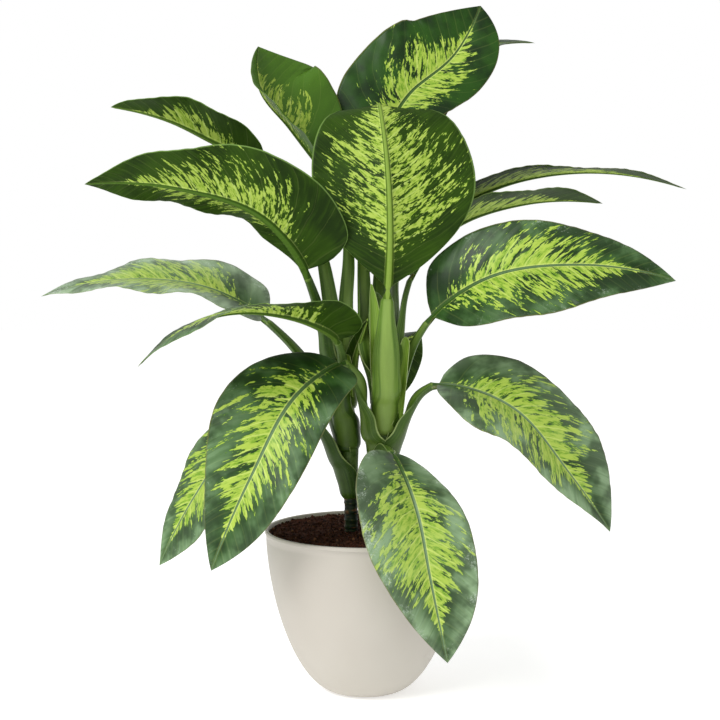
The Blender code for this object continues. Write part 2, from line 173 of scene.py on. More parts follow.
def fade(value, low, high, start=0.0, end=1.0):
    """Start below low, end above high, and a smooth step between them."""
    sockets = {"Value": value, "From Min": low, "From Max": high, "To Min": start, "To Max": end}
    return put("MapRange", sockets, interpolation_type="SMOOTHSTEP").outputs["Result"]


def blend_of(share, first, second):
    """A colour between two colours, each a socket or a paint chart's three numbers."""
    ends = [colour(*end) if isinstance(end, tuple) else end for end in (first, second)]
    return put("Mix", {0: share, 6: ends[0], 7: ends[1]}, data_type="RGBA").outputs[2]


def cloud(place, scale, detail=2.0, roughness=0.5):
    """Noise from 0 to 1, about one half on average."""
    sockets = {"Vector": place, "Scale": scale, "Detail": detail, "Roughness": roughness}
    return put("TexNoise", sockets).outputs["Fac"]


def place_of(x, y, z):
    """Three numbers as one place."""
    return put("CombineXYZ", {0: x, 1: y, 2: z}).outputs[0]


def object_place():
    """Where a point is on the finished plant."""
    return put("TexCoord").outputs["Object"]


def number_of(name):
    """A number that each point carries."""
    return put("Attribute", attribute_name=name).outputs["Fac"]


def numbers_of(name):
    """Three numbers that each point carries."""
    three = put("Attribute", attribute_name=name).outputs["Vector"]
    return put("SeparateXYZ", {0: three}).outputs


def finish_with(shader, tint, roughness, height, strength, distance):
    """A finish's colour, roughness and fine relief, wired to its shader."""
    bump = put("Bump", {"Height": height, "Strength": strength, "Distance": distance})
    join(tint, shader["Base Color"])
    join(roughness, shader["Roughness"])
    join(bump.outputs[0], shader["Normal"])


def new_group(name, inputs, outputs):
    """A node group with named sockets, numbers but for a place. Gives its tree, inputs and outputs."""
    tree = bench["tree"] = bpy.data.node_groups.new(name, "ShaderNodeTree")
    for way, names in (("INPUT", inputs), ("OUTPUT", outputs)):
        for socket in names.split():
            kind = "NodeSocketVector" if socket == "Place" else "NodeSocketFloat"
            tree.interface.new_socket(socket, in_out=way, socket_type=kind)
    return tree, tree.nodes.new("NodeGroupInput").outputs, tree.nodes.new("NodeGroupOutput").inputs


def use_group(group, inputs):
    """A group in a material, with its own values. Its sockets exist once it has its tree."""
    return put("Group", inputs, node_tree=group).outputs


def new_finish(name, **values):
    """A material and its shader's inputs, with the values that are the same all over set."""
    material = bpy.data.materials.new(name)
    material.use_nodes = True
    bench["tree"] = material.node_tree
    inputs = material.node_tree.nodes["Principled BSDF"].inputs
    for key, value in values.items():
        inputs[key.replace("_", " ").title().replace("Ior", "IOR")].default_value = value
    return material, inputs


print("helpers ready")

# %% [markdown]
# ## Reading a leaf's solid
#
# Each leaf's solid is a closed loft: a pole at the foot of its sheath, rings of fourteen points along
# the sheath, the petiole and the blade, and a pole at the tip. Its mesh arrives as loose triangles, so
# a copy is merged first. The rings are then found as a spider would: walk outward from the foot, one
# step of the net at a time. A remesh would also give a smooth skin, but it would lose which way the
# leaf grows, and every marking follows that.

# %% Find a leaf's rings
RING = 14
MIDRIB = 3
FIRST_BLADE_RING = 8


def merged_net(node):
    """A copy of a solid's mesh with its loose triangles joined."""
    net = bmesh.new()
    net.from_mesh(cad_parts[node].data)
    bmesh.ops.remove_doubles(net, verts=net.verts, dist=MM / 1000)
    return net


def cycle(points):
    """Points that lie on a loop of the net, in the loop's order."""
    wanted = set(points)
    order = [points[0]]
    while len(order) < len(points):
        last = order[-1]
        near = [e.other_vert(last) for e in last.link_edges]
        order.append(next(v for v in near if v in wanted and v not in order))
    return order


def leaf_rings(node, cane_points):
    """The leaf's foot, its rings as an array of ring, point and axis, and its tip."""
    net = merged_net(node)
    poles = [v for v in net.verts if len(v.link_edges) == RING]
    poles.sort(key=lambda v: np.linalg.norm(cane_points - np.array(v.co), axis=1).min())
    foot, tip = poles[0], poles[-1]
    seen = {foot}
    front = [foot]
    rings = []
    while True:
        near = {e.other_vert(v) for v in front for e in v.link_edges} - seen
        seen |= near
        if tip in near:
            break
        front = cycle(list(near))
        if rings:
            turns = [(front[k:] + front[:k])[::way] for k in range(RING) for way in (1, -1)]
            linked = {frozenset(e.verts) for v in front for e in v.link_edges}
            last = rings[-1]
            front = max(turns, key=lambda turn: sum(frozenset(p) in linked for p in zip(last, turn)))
        rings.append(front)
    points = np.array([[v.co for v in ring] for ring in rings])
    ends = np.array(foot.co), np.array(tip.co)
    net.free()
    return ends[0], ordered(points), ends[1]


def ordered(points):
    """Rings that start at the upper side's left margin and run over the upper side first."""
    stalk = points[FIRST_BLADE_RING - 3 : FIRST_BLADE_RING]
    loops = stalk - stalk.mean(axis=1, keepdims=True)
    turning = np.cross(loops, np.roll(loops, -1, axis=1)).sum(axis=1)
    growth = np.diff(stalk.mean(axis=1), axis=0).sum(axis=0)
    if np.dot(turning.sum(axis=0), growth) < 0:
        points = points[:, ::-1]
    blade = points[FIRST_BLADE_RING:]
    sides = np.linalg.norm(blade - np.roll(blade, -1, axis=1), axis=2).sum(axis=0)
    margin = int(np.argmin((sides + np.roll(sides, -RING // 2))[: RING // 2]))
    first = np.roll(points, -(margin + 1), axis=1)
    second = np.roll(first, -RING // 2, axis=1)
    return min((first, second), key=rib_depth)


def rib_depth(points):
    """How far the midrib stands off the line between its neighbours: most on the lower side."""
    blade = points[FIRST_BLADE_RING : FIRST_BLADE_RING + 6]
    middle = (blade[:, MIDRIB - 1] + blade[:, MIDRIB + 1]) / 2
    return np.linalg.norm(blade[:, MIDRIB] - middle, axis=1).sum()


LEAVES = sorted(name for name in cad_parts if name.startswith("leaf_"))
CANE_POINTS = np.array(
    [v.co for name in ("cane_left", "cane_right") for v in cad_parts[name].data.vertices]
)
rings_of = {name: leaf_rings(name, CANE_POINTS) for name in LEAVES}
print(len(LEAVES), "leaves of", {len(rings) for _, rings, _ in rings_of.values()}, "rings")

# %% [markdown]
# ## A fine skin on each leaf
#
# The blade is a thin sheet, so its upper side is laid first, as smooth curves through the rings, and
# its under side follows it at the leaf's thickness, which thins to the margin, with the midrib standing
# out below. The sheath and petiole are rounder, and their curves run through all fourteen points.
# A subdivision surface could round the same net in one step, but it shrinks the tips and swells the
# thin margins.

# %% Smooth curves through the rings
THICK = 0.9 * MM
MARGIN_THICK = 0.35 * MM
RIB_DEPTH = (3.6 * MM, 0.3 * MM)  # below the blade, at base and tip
RIB_REACH = (4.0 * MM, 0.9 * MM)  # half its width, at base and tip
HALF_COLUMNS = np.concatenate([np.linspace(0, 0.075, 7)[:-1], np.linspace(0.075, 1, 20)])
ACROSS = np.concatenate([-HALF_COLUMNS[:0:-1], HALF_COLUMNS])
STALK_ROWS = 46
JOINT_ROWS = 3
BLADE_ROWS = 110
BASE_ROUND = 0.055  # share of the blade over which its base rounds out to full width
RIPPLES = ((31 * MM, 0.0), (19 * MM, 1.3), (11.5 * MM, 4.1))  # the margin's waves: length, start
RIPPLE_HEIGHT = 0.22 * MM


def spline(places, values, at):
    """Natural cubic curves through values at places, read at other places."""
    gaps = np.diff(places)
    count = len(places)
    flat = values.reshape(count, -1)
    bends = np.eye(count)
    pull = np.zeros_like(flat)
    for i in range(1, count - 1):
        bends[i, i - 1 : i + 2] = gaps[i - 1], 2 * (gaps[i - 1] + gaps[i]), gaps[i]
        pull[i] = 6 * ((flat[i + 1] - flat[i]) / gaps[i] - (flat[i] - flat[i - 1]) / gaps[i - 1])
    bend = np.linalg.solve(bends, pull)
    k = np.clip(np.searchsorted(places, at) - 1, 0, count - 2)
    gap = gaps[k][:, None]
    b = (at - places[k])[:, None] / gap
    a = 1 - b
    read = a * flat[k] + b * flat[k + 1]
    read += ((a**3 - a) * bend[k] + (b**3 - b) * bend[k + 1]) * gap**2 / 6
    return read.reshape(len(at), *values.shape[1:])


def along(rows):
    """How far along each row of points lies, by the steps of its middle column."""
    steps = np.linalg.norm(np.diff(rows[:, MIDRIB], axis=0), axis=1)
    return np.concatenate([[0], np.cumsum(steps)])


def stalk_rows(rows):
    """Fine rows for the sheath and petiole: upper side from left to right, then under side back."""
    places = along(rows)
    at = np.linspace(0, places[-1], STALK_ROWS)
    fine = spline(places, rows, at)
    knots = np.arange(-3.0, 4.0)
    share = np.interp(np.abs(ACROSS), (0, 0.07, 0.5, 1), (0, 1, 2, 3)) * np.sign(ACROSS)
    upper = np.moveaxis(spline(knots, np.moveaxis(fine[:, :7], 1, 0), share), 0, 1)
    under = np.moveaxis(spline(knots, np.moveaxis(fine[:, :6:-1], 1, 0), share), 0, 1)
    return np.concatenate([upper, under[:, ::-1]], axis=1), at


def blade_rows(rings, tip):
    """Fine rows for the blade, in the same order, and how far along each lies."""
    rows = np.concatenate([rings[FIRST_BLADE_RING:], np.broadcast_to(tip, (1, RING, 3))])
    places = along(rows)
    at = np.linspace(0, places[-1], BLADE_ROWS)
    columns = np.moveaxis(spline(places, rows, at)[:, :7], 1, 0)
    left, left_half, _, middle, _, right_half, right = columns
    t = np.abs(ACROSS)[None, :, None]
    to_left = (ACROSS < 0)[None, :, None]
    half = np.where(to_left, left_half[:, None], right_half[:, None])
    margin = np.where(to_left, left[:, None], right[:, None])
    upper = middle[:, None] * (1 - t) * (1 - 2 * t) + half * 4 * t * (1 - t) + margin * t * (2 * t - 1)
    share = (at / at[-1])[:, None, None]
    rounding = np.sqrt(np.clip(1 - (1 - share / BASE_ROUND) ** 2 * (share < BASE_ROUND), 0.01, 1))
    upper = middle[:, None] + (upper - middle[:, None]) * rounding
    ripple = sum(
        np.sin(2 * np.pi * at[:, None] / length + start + 2 * np.sign(ACROSS))
        for length, start in RIPPLES
    )
    fading = np.sin(np.pi * share[:, :, 0]) * np.abs(ACROSS) ** 3
    return upper + normals(upper) * (RIPPLE_HEIGHT * ripple * fading)[:, :, None], at


def normals(sheet):
    """The upper side's normals. The last row is a point and takes those of the row before."""
    facing = np.cross(np.gradient(sheet, axis=1), np.gradient(sheet, axis=0))
    facing[-1] = facing[-2]
    return facing / np.maximum(np.linalg.norm(facing, axis=2, keepdims=True), 1e-12)


def under_side(upper, at):
    """The under side: the upper side pushed down by the thickness and by the round midrib."""
    share = (at / at[-1])[:, None]
    out = np.linalg.norm(upper - upper[:, len(ACROSS) // 2][:, None], axis=2)
    thick = THICK + (MARGIN_THICK - THICK) * np.clip((np.abs(ACROSS)[None, :] - 0.8) / 0.2, 0, 1) ** 2
    reach = RIB_REACH[0] + (RIB_REACH[1] - RIB_REACH[0]) * share
    depth = RIB_DEPTH[0] + (RIB_DEPTH[1] - RIB_DEPTH[0]) * share
    rib = depth * np.clip(1 - (out / reach) ** 2, 0, 1) ** 0.8
    taper = np.clip((1 - share) / 0.03, 0, 1)
    return upper - normals(upper) * ((thick + rib) * taper)[:, :, None]


print(2 * len(ACROSS), "points round a leaf")

# %% [markdown]
# A grid is added for each leaf and laid over these rows, and its long sides and its two ends are merged
# shut. Every point also carries where it is on the leaf: how far along, how far across, and the leaf's
# own number. The finishes read these, so that their markings grow with the leaf.

# %% Lay the skins
skins = {}
sheath_share = {}  # for each row of a leaf: 1 on its sheath, 0 on its open petiole and blade


def lay_grid(name, rows):
    """A grid primitive laid over rows of points, each row closed round."""
    count, around = rows.shape[:2]
    deselect()
    bpy.ops.mesh.primitive_grid_add(x_subdivisions=around, y_subdivisions=count - 1, size=1)
    skin = bpy.context.object
    skin.name = name
    closed = np.concatenate([rows, rows[:, :1]], axis=1)
    skin.data.vertices.foreach_set("co", closed.reshape(-1).astype(np.float32))
    return skin


def mark(skin, name, rows):
    """Three numbers for each point of a laid grid, as an attribute that finishes read."""
    closed = np.concatenate([rows, rows[:, :1]], axis=1)
    layer = skin.data.attributes.new(name, "FLOAT_VECTOR", "POINT")
    layer.data.foreach_set("vector", closed.reshape(-1).astype(np.float32))


def face_out(piece):
    """Turns all faces outward, leaves edit mode, and shades the piece smooth."""
    bpy.ops.mesh.select_all(action="SELECT")
    bpy.ops.mesh.normals_make_consistent(inside=False)
    bpy.ops.object.mode_set(mode="OBJECT")
    piece.data.shade_smooth()


def close_up(skin):
    """Merges the points that lie on each other, and turns all faces outward."""
    deselect()
    skin.select_set(True)
    bpy.context.view_layer.objects.active = skin
    bpy.ops.object.mode_set(mode="EDIT")
    bpy.ops.mesh.select_all(action="SELECT")
    bpy.ops.mesh.remove_doubles(threshold=MM / 200)
    face_out(skin)


# %% [markdown]
# ## Sheaths
#
# The foot of a petiole is a sheath: a sheet that wraps right round the cane at its node, opens on the
# way up, and runs on as two thin wings along the petiole. Older leaves sit lower, and their sheaths
# lie over the younger ones. So each sheath is an arc round its cane that narrows as it rises, and the
# lower its foot, the further out it lies.

# %% Sheaths round the canes
SHEATH_RISE = np.array([0, 3, 12, 22, 31]) * MM
SHEATH_WRAP = np.radians([124, 122, 114, 98, 78])  # half the angle round the cane
SHEATH_THICK = np.array([0.1, 0.6, 1.2, 2.2, 3.6]) * MM  # in the middle, beyond the thin edge
SHEATH_EDGE = 0.5 * MM
SHEATH_GAP = 0.6 * MM  # between the cane and the sheath
SHEATH_SUNK = 1.4 * MM  # how far the sheath's foot dips, so that it grows out of the cane
SHEATH_LIFT = 0.4 * MM  # over the next younger sheath
WINGS = np.array([2.6, 2.2, 1.4, 0.6, 0.0]) * MM  # past the petiole's side, from the sheath's top on
LONG_WINGS = {"leaf_centre": np.array([2.6, 2.6, 2.4, 1.6, 0.4]) * MM}
BREADTHS = (1.75, 1.45, 1.2, 1.05, 1.0)  # how a petiole broadens into its sheath, by its free width
LONG_BREADTHS = {"leaf_centre": (2.0, 2.1, 2.05, 1.65, 1.4)}
SHEATH_OPENS = 40 * MM  # over which the sheath's pale edge dies out


def cane_line(node):
    """The heights, middles and radii of a cane's rings, from its solid."""
    net = merged_net(node)
    points = np.array([v.co for v in net.verts])
    net.free()
    heights = np.unique(points[:, 2].round(5))
    rings = [points[np.abs(points[:, 2] - height) < MM / 50] for height in heights]
    rings = [ring for ring in rings if len(ring) > 1]
    middles = np.array([ring.mean(axis=0) for ring in rings])
    radii = np.array([np.linalg.norm(r - m, axis=1).mean() for r, m in zip(rings, middles)])
    return middles, radii


def cane_at(cane, height):
    """Middle and radius of a cane at a height."""
    middles, radii = cane
    middle = [np.interp(height, middles[:, 2], middles[:, k]) for k in range(3)]
    return np.array(middle), float(np.interp(height, middles[:, 2], radii))


def sheath_rings(cane, foot, lift):
    """Arcs that wrap a cane above a foot, inner side first, like a leaf's other rings."""
    outward = (foot - cane_at(cane, foot[2])[0]) * (1, 1, 0)
    outward /= np.linalg.norm(outward)
    rings = []
    for rise, wrap, thick in zip(SHEATH_RISE, SHEATH_WRAP, SHEATH_THICK):
        over = lift * rise / SHEATH_RISE[-1]
        over -= SHEATH_SUNK if rise == SHEATH_RISE[0] else 0
        middle, radius = cane_at(cane, foot[2] + rise)
        up = cane_at(cane, foot[2] + rise + 5 * MM)[0] - middle
        up /= np.linalg.norm(up)
        sideways = np.cross(up, -outward)
        sideways /= np.linalg.norm(sideways)
        away = np.cross(sideways, up)
        away *= np.sign(np.dot(away, outward))
        places = np.concatenate([np.arange(-3, 4), np.arange(3, -4, -1)]) / 3
        outer = np.arange(RING) >= RING // 2
        reach = radius + SHEATH_GAP + over + outer * (SHEATH_EDGE + thick * np.cos(np.pi / 2 * places))
        turn = wrap * places
        side_step = (reach * np.sin(turn))[:, None] * sideways
        rings.append(middle + side_step + (reach * np.cos(turn))[:, None] * away)
    return rings


def winged(ring, wing, breadth):
    """A petiole's ring, broadened, with a thin wing on each side."""
    ring = ring.copy()
    middle = (ring[MIDRIB] + ring[RING - 1 - MIDRIB]) / 2
    lift = ring[MIDRIB] - ring[RING - 1 - MIDRIB]
    lift /= np.linalg.norm(lift)
    sideways = ring[0] + ring[RING - 1] - ring[RING // 2 - 1] - ring[RING // 2]
    sideways /= np.linalg.norm(sideways)
    ring += ((ring - middle) @ sideways * (breadth - 1))[:, None] * sideways
    for above, below in ((0, RING - 1), (RING // 2 - 1, RING // 2)):
        way = (ring[above] + ring[below]) / 2 - middle
        way = way / np.linalg.norm(way) * min(1, 5 * MM / max(wing, MM)) + 0.8 * lift
        ring[[above, below]] += way * wing
        inner = 1 if above == 0 else -1
        ring[[above + inner, below - inner]] += way * wing * 0.4
    return ring


canes = {name: cane_line(name) for name in ("cane_left", "cane_right")}
feet = {name: rings_of[name][0] for name in LEAVES}
cane_of = {
    name: min(canes, key=lambda cane: np.linalg.norm(cane_at(canes[cane], foot[2])[0] - foot))
    for name, foot in feet.items()
}
for name in sorted(LEAVES, key=lambda name: feet[name][2]):
    print(name, "stands on", cane_of[name], "at", round(float(feet[name][2]), 3))

# %% [markdown]
# Each leaf is one skin from the foot of its sheath to its tip, as it grows. Sheath, petiole and blade
# could be three pieces, but then a seam would show where the petiole enters the blade.

# %% Lay the leaves
SEED_STEP = 1.7  # between one leaf's markings and the next one's
FINENESS = {  # of the markings
    "leaf_centre": 1.45, "leaf_left": 1.35, "leaf_top": 1.25, "leaf_upper_left": 1.2,
    "leaf_low_left": 0.9,
}

for number, name in enumerate(LEAVES):
    foot, rings, tip = rings_of[name]
    younger = [n for n in LEAVES if cane_of[n] == cane_of[name] and feet[n][2] > foot[2]]
    sheath = sheath_rings(canes[cane_of[name]], foot, SHEATH_LIFT * len(younger))
    petiole = list(rings[3:FIRST_BLADE_RING])
    growths = zip(petiole, LONG_WINGS.get(name, WINGS), LONG_BREADTHS.get(name, BREADTHS))
    petiole = [winged(ring, wing, breadth) for ring, wing, breadth in growths]
    stalk, stalk_at = stalk_rows(np.array(sheath + petiole))
    sheath_top = along(np.array(sheath + petiole))[len(sheath)]
    upper, blade_at = blade_rows(rings, tip)
    blade = np.concatenate([upper, under_side(upper, blade_at)[:, ::-1]], axis=1)
    shares = np.linspace(0, 1, JOINT_ROWS + 2)[1:-1, None, None]
    joint = stalk[-1] * (1 - shares) + blade[0] * shares
    start = np.broadcast_to(stalk[0].mean(axis=0), (1, *stalk.shape[1:]))
    rows = np.concatenate([start, stalk, joint, blade])
    skin = lay_grid(name + "_skin", rows)
    across = np.concatenate([ACROSS, ACROSS[::-1]])
    top_side = rows[:, :len(ACROSS)]
    out = np.linalg.norm(top_side - top_side[:, len(ACROSS) // 2][:, None], axis=2) * np.sign(ACROSS)
    out = np.concatenate([out, out[:, ::-1]], axis=1)
    stalk_where = stalk_at - stalk_at[-1] - MM
    where = np.concatenate([[stalk_where[0]], stalk_where, np.zeros(JOINT_ROWS), blade_at])
    mark(skin, "leaf", np.stack(np.broadcast_arrays(where[:, None], out, number * SEED_STEP), axis=2))
    share = np.clip(where / blade_at[-1], 0, 1)
    shares = np.broadcast_arrays(share[:, None], across[None, :], FINENESS.get(name, 1.0))
    mark(skin, "share", np.stack(shares, axis=2))
    opening = (stalk_at - sheath_top) / SHEATH_OPENS
    open_part = np.concatenate([[0], opening, np.ones(len(rows) - STALK_ROWS - 1)])
    sheath_share[name] = 1 - np.clip(open_part, 0, 1)
    kinds = np.zeros((len(rows) - 1, rows.shape[1]), int)
    kinds[:, len(ACROSS) :] = 1
    kinds[: STALK_ROWS + 1] = 2
    skin.data.polygons.foreach_set("material_index", kinds.reshape(-1))
    skins[name] = skin
print(sum(len(s.data.polygons) for s in skins.values()), "faces on", len(skins), "leaves")

# %% [markdown]
# ## The markings of a blade
#
# A dieffenbachia's blade is dark green with a pale middle: the pale tissue spreads from the midrib
# along the side veins and ends in feathered tongues, with green islands in it and flecks past it.
# So the pattern is noise that is stretched along the side veins, cut at a level that rises with the
# distance from the midrib. The group below gives the course of the veins, and the next one the pale
# tissue. Both sides of the blade read the same two groups, since the markings go through the leaf.

# %% Course of the side veins
VEIN_SPACING = 13 * MM

veins, given, made = new_group("side_veins", "Along Out Share Seed", "Course Line Arch Out")
out = absolute(given["Out"])
side = math_of("SIGN", given["Out"])
seed = scaled(side, 3.7, given["Seed"])
lean = scaled(given["Share"], 0.95, 0.12)
course = math_of("SUBTRACT", given["Along"], times(out, lean))
wander = cloud(place_of(times(course, 60), times(out, 25), seed), 1.0)
course = scaled(wander, 9 * MM, course)
phase = math_of("FRACT", divided(course, VEIN_SPACING))
apart = absolute(math_of("SUBTRACT", phase, 0.5))
wide = scaled(out, -2.2, 0.12)
line = math_of("SUBTRACT", 1.0, fade(apart, 0.012, math_of("MAXIMUM", wide, 0.025)))
arch = fade(apart, 0.0, 0.5)
for name, value in (("Course", course), ("Line", line), ("Arch", arch), ("Out", out)):
    join(value, made[name])
print(len(veins.nodes), "nodes draw the side veins")

# %% [markdown]
# Three noises make the pale tissue, from coarse to fine: tongues that reach out between the veins,
# streaks in them, and islands of green. A painted picture would hold one leaf only; this draws each anew.

# %% Pale tissue
pale, given, made = new_group(
    "pale_tissue", "Course Out Seed Share Across Reach Amount Fineness", "Pale Fringe Mottle"
)
seed = scaled(math_of("SIGN", given["Across"]), 5.3, given["Seed"])


def feather(across_vein, along_vein, detail, roughness, shift):
    """Noise in streaks that follow the side veins. The sizes are in metres."""
    x = times(divided(given["Course"], across_vein), given["Fineness"])
    y = times(divided(given["Out"], along_vein), given["Fineness"])
    z = math_of("ADD", seed, shift)
    return cloud(place_of(x, y, z), 1.0, detail, roughness)


tongues = feather(8 * MM, 120 * MM, 2.0, 0.6, 11.0)
streaks = feather(6 * MM, 24 * MM, 5.0, 0.62, 0.0)
islands = feather(3.0 * MM, 8 * MM, 3.0, 0.65, 23.0)
starts = fade(given["Share"], 0.03, 0.35, 0.45, 1.0)
ends = fade(given["Share"], 0.55, 0.93, 1.0, 0.02)
reach = times(given["Reach"], times(starts, ends))
reach = times(reach, scaled(tongues, 1.7, 0.15))
edge = divided(absolute(given["Across"]), math_of("MAXIMUM", reach, 0.02))
level = math_of("SUBTRACT", given["Amount"], times(math_of("POWER", edge, 1.6), 0.62))
level = scaled(math_of("SUBTRACT", streaks, 0.5), 3.3, level)
level = scaled(math_of("SUBTRACT", islands, 0.5), 2.7, level)
level = math_of("SUBTRACT", level, fade(given["Share"], 0.02, 0.26, 0.75, 0.0))
fringe = fade(level, -0.16, 0.03)
for name, value in (("Pale", fade(level, 0.0, 0.09)), ("Fringe", fringe), ("Mottle", islands)):
    join(value, made[name])
print(len(pale.nodes), "nodes draw the pale tissue")

# %% [markdown]
# Old blades wear dried drops of hard water: chalky dots and runs near the margin and the tip.

# %% Chalk
chalk, given, made = new_group("chalk", "Place Across Share Amount", "Chalk")
outer = math_of("MAXIMUM", fade(absolute(given["Across"]), 0.45, 1.0), fade(given["Share"], 0.68, 1.0))
field = cloud(given["Place"], 60.0, 3.0, 0.6)
dots = cloud(given["Place"], 420.0, 3.0, 0.7)
level = times(times(outer, given["Amount"]), scaled(field, 2.4, -0.75))
level = math_of("ADD", level, scaled(dots, 1.5, -1.15))
fine = fade(cloud(given["Place"], 900.0, 2.0), 0.38, 0.62, 0.15, 1.0)
join(times(fade(level, -0.05, 0.6), fine), made["Chalk"])
print(len(chalk.nodes), "nodes draw the chalk")

# %% [markdown]
# ## The two sides of a blade
#
# The upper side is a deep green with a painted grey-green sheen towards the margin, and satin. The under
# side is fresher in colour and dull. A narrow groove runs over the midrib above, between two pale lines,
# and the midrib below is broad and light, with a painted highlight along its middle. The same layers in
# other inks make both sides.

# %% Blade finishes
RIB_HALF = {"upper": (2.5 * MM, 0.5 * MM), "under": (4.0 * MM, 0.8 * MM)}  # as seen, at base and tip


def leaf_inputs():
    """The numbers that a leaf's points carry, and its veins and pale tissue."""
    where = numbers_of("leaf")
    share = numbers_of("share")
    habit = numbers_of("habit")
    vein = use_group(veins, {"Along": where[0], "Out": where[1], "Share": share[0], "Seed": where[2]})
    marks = use_group(pale, {
        "Course": vein["Course"], "Out": vein["Out"], "Seed": where[2], "Share": share[0],
        "Across": share[1], "Reach": habit[0], "Amount": habit[1], "Fineness": share[2],
    })
    return where, share, habit, vein, marks


def rib_masks(vein, share, ends):
    """The midrib, and the lines beside it."""
    half = scaled(share[0], ends[1] - ends[0], ends[0])
    ratio = divided(vein["Out"], half)
    rib = fade(ratio, 0.8, 1.05, 1.0, 0.0)
    past = math_of("SUBTRACT", vein["Out"], half)
    beside = times(fade(ratio, 0.85, 1.1), fade(past, 0.4 * MM, 1.3 * MM, 1.0, 0.0))
    return rib, beside, ratio


def blade_colour(marks, vein, share, inks):
    """Ground, fringe, pale tissue, veins and midrib, one over the other, and how far from the midrib."""
    rib, beside, ratio = rib_masks(vein, share, inks["rib_half"])
    tint = blend_of(marks["Fringe"], inks["ground"], inks["fringe"])
    mottle = fade(marks["Mottle"], 0.36, 0.6)
    bright = blend_of(mottle, inks["pale_low"], inks["pale"])
    tint = blend_of(marks["Pale"], tint, bright)
    faint = times(vein["Line"], scaled(marks["Fringe"], 0.42, 0.04))
    tint = blend_of(faint, tint, inks["vein"])
    base = fade(share[0], 0.05, 0.3, 0.15, inks["beside"])
    lines = times(beside, times(base, fade(share[0], 0.72, 0.93, 1.0, 0.15)))
    tint = blend_of(lines, tint, inks["vein"])
    return blend_of(rib, tint, inks["rib"]), ratio


def vein_streaks(vein, where, width):
    """Fine streaks along the side veins."""
    x = divided(vein["Course"], width)
    return cloud(place_of(x, divided(vein["Out"], 30 * MM), where[2]), 1.0, 3.0)


upper_ink, shader = new_finish("leaf_upper", Specular_IOR_Level=0.22)
where, share, habit, vein, marks = leaf_inputs()
place = object_place()
slow = cloud(place, 34.0, 3.0)
ground = blend_of(fade(slow, 0.35, 0.65), (14, 40, 3), (33, 70, 8))
streaky = vein_streaks(vein, where, 5 * MM)
# Painted sheen: a grey-green haze in patches, stronger towards the margin and further along the blade, as
# much as each leaf's sheen amount.
outer = fade(absolute(share[1]), 0.15, 0.95, 0.25, 1.0)
patches = times(fade(slow, 0.42, 0.62, 0.25, 1.0), fade(streaky, 0.25, 0.75, 0.5, 1.0))
later = fade(share[0], 0.1, 0.5, 0.5, 1.0)
painted_sheen = times(times(habit[2], outer), times(patches, later), clamp=True)
ground = blend_of(painted_sheen, ground, (112, 142, 100))
# Where a leaf's sheen amount is below nought, its ground is a lighter yellow-green instead.
ground = blend_of(times(habit[2], -1.0, clamp=True), ground, (76, 116, 26))
# The midrib above turns grey-green along the blade, more so on leaves with more painted sheen.
greyer = times(fade(share[0], 0.05, 0.45), scaled(habit[2], 0.9, 0.2), clamp=True)
rib_tint = blend_of(greyer, (48, 80, 18), (98, 126, 88))
inks = {
    "ground": ground, "fringe": (62, 102, 20), "pale_low": (106, 146, 32), "pale": (158, 182, 70),
    "vein": (196, 210, 116), "rib": rib_tint, "rib_half": RIB_HALF["upper"], "beside": 0.55,
}
tint, ratio = blade_colour(marks, vein, share, inks)
# Painted sheen: where a leaf's sheen amount passes one, a whitish haze in the same patches towards the
# margin.
painted_white_sheen = times(math_of("SUBTRACT", habit[2], 1.0, clamp=True), times(outer, scaled(patches, 0.45, 0.12)))
tint = blend_of(painted_white_sheen, tint, (184, 202, 172))
dried = {"Place": place, "Across": share[1], "Share": share[0], "Amount": number_of("chalk")}
white = use_group(chalk, dried)["Chalk"]
tint = blend_of(times(white, 0.7), tint, (190, 204, 188))
rim = fade(absolute(share[1]), 0.975, 0.992)
tint = blend_of(times(rim, 0.5), tint, (120, 118, 66))
gloss = scaled(slow, 0.16, 0.3)
roughness = scaled(white, 0.3, gloss)
groove = fade(ratio, 0.0, 1.1)
height = scaled(vein["Arch"], 0.5, groove)
height = scaled(streaky, 0.12, height)
finish_with(shader, tint, roughness, height, 0.55, 0.9 * MM)

under_ink, shader = new_finish("leaf_under", Specular_IOR_Level=0.12)
where, share, habit, vein, marks = leaf_inputs()
place = object_place()
slow = cloud(place, 26.0, 3.0)
streaky = vein_streaks(vein, where, 2.2 * MM)
ground = blend_of(fade(slow, 0.35, 0.65), (25, 46, 2), (40, 66, 4))
ground = blend_of(fade(streaky, 0.4, 0.75, 0.0, 0.4), ground, (58, 88, 14))
ground = blend_of(times(habit[2], -1.0, clamp=True), ground, (76, 116, 26))
# Painted highlight: a lighter stripe along the middle of the midrib below.
painted_rib_highlight = math_of("SUBTRACT", 1.0, fade(divided(vein["Out"], 1.6 * MM), 0.2, 1.0))
light = number_of("light")
dark_rib = blend_of(painted_rib_highlight, (42, 70, 10), (60, 92, 22))
light_rib = blend_of(painted_rib_highlight, (70, 98, 20), (122, 148, 60))
rib_tint = blend_of(light, dark_rib, light_rib)
inks = {
    "ground": ground, "fringe": (72, 108, 20), "pale_low": (112, 144, 34), "pale": (160, 182, 78),
    "vein": (184, 204, 116), "rib": rib_tint, "rib_half": RIB_HALF["under"], "beside": 0.35,
}
tint, _ = blade_colour(marks, vein, share, inks)
# Painted highlight: a lighter line along the very margin of the under side.
rim = fade(absolute(share[1]), 0.975, 0.99)
tint = blend_of(times(rim, 0.6), tint, (128, 160, 84))
roughness = scaled(slow, 0.15, 0.5)
height = scaled(vein["Line"], 0.5, times(streaky, 0.2))
finish_with(shader, tint, roughness, height, 0.5, 0.6 * MM)
